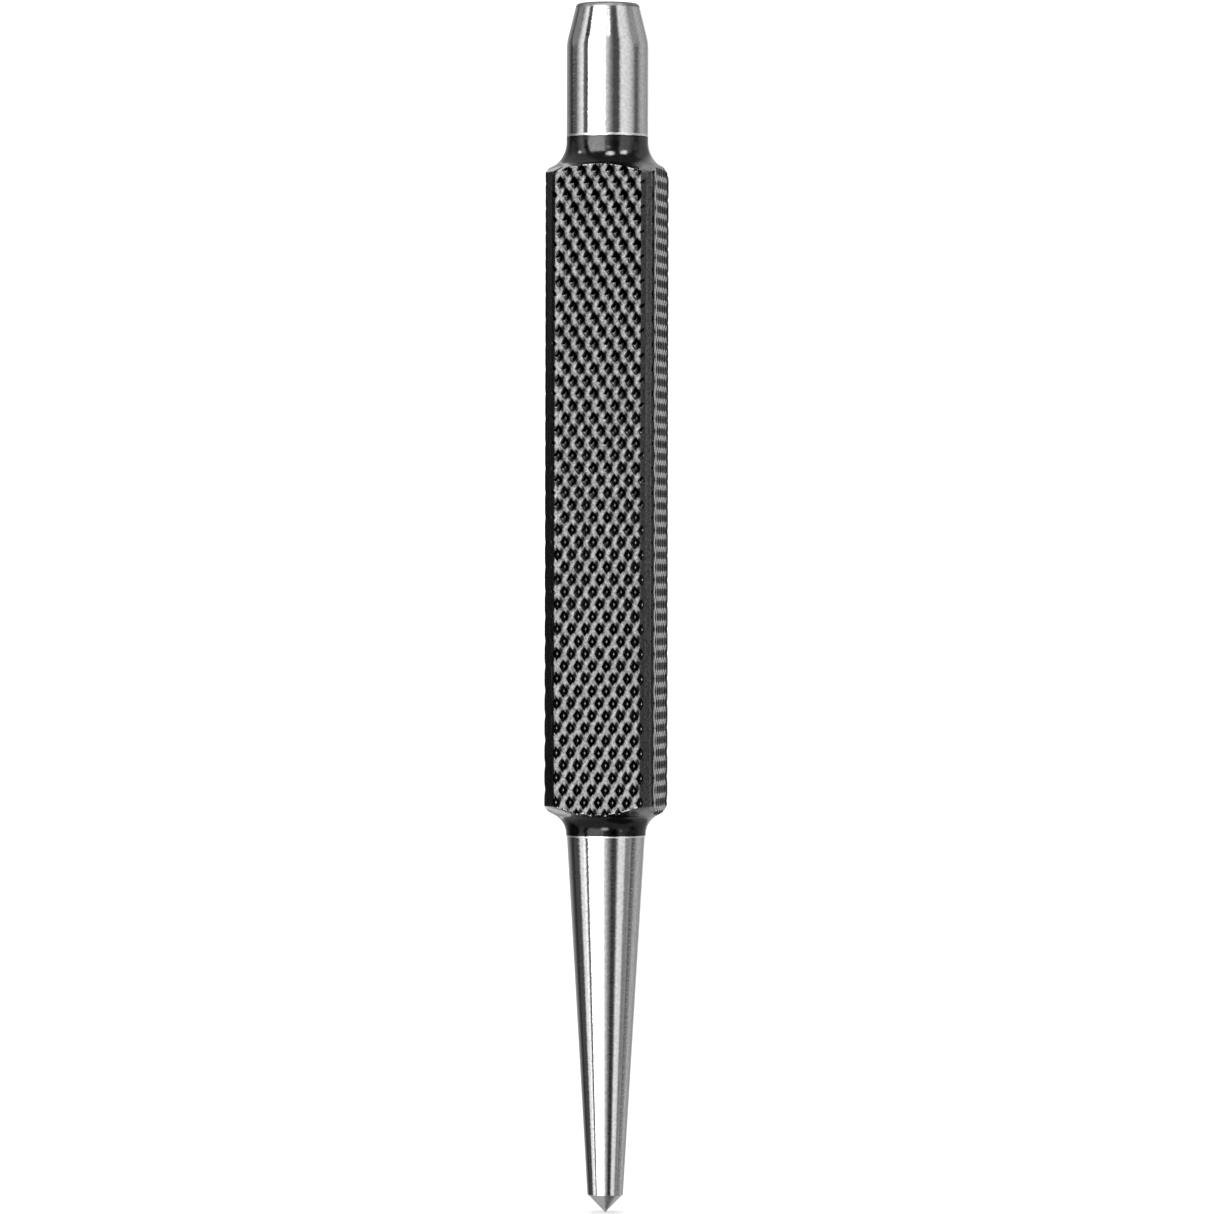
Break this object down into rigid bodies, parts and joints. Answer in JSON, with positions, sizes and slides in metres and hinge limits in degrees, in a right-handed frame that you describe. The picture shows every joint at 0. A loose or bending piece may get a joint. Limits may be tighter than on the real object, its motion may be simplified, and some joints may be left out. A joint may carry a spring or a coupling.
{
  "type": "square-shank centre punch",
  "caption": "Solid steel centre punch with a conical point, long tapered nose, knurled square shank and round struck head.",
  "frame": {"origin": "apex of the conical point, on the bar's axis", "axes": "+Z along the bar from the point towards the struck head; the flats of the square shank face +X, -X, +Y and -Y, and the -Y flat is the front"},
  "size_m": [0.0098, 0.0098, 0.108],
  "materials": {
    "ground_steel": "ground tool steel with fine grinding lines around the cone",
    "polished_steel": "bright polished tool steel with faint turning lines",
    "black_oxide": "oiled black oxide over turned tool steel",
    "knurled_black_oxide": "black oxide over a diamond knurl, rubbed lighter on the ridges"
  },
  "bodies": {
    "root": {"ground_tip": "ground_steel", "tapered_point": "polished_steel", "lower_neck": "black_oxide", "knurled_shank": "knurled_black_oxide", "upper_neck": "black_oxide", "struck_head": "polished_steel"}
  },
  "joints": []
}
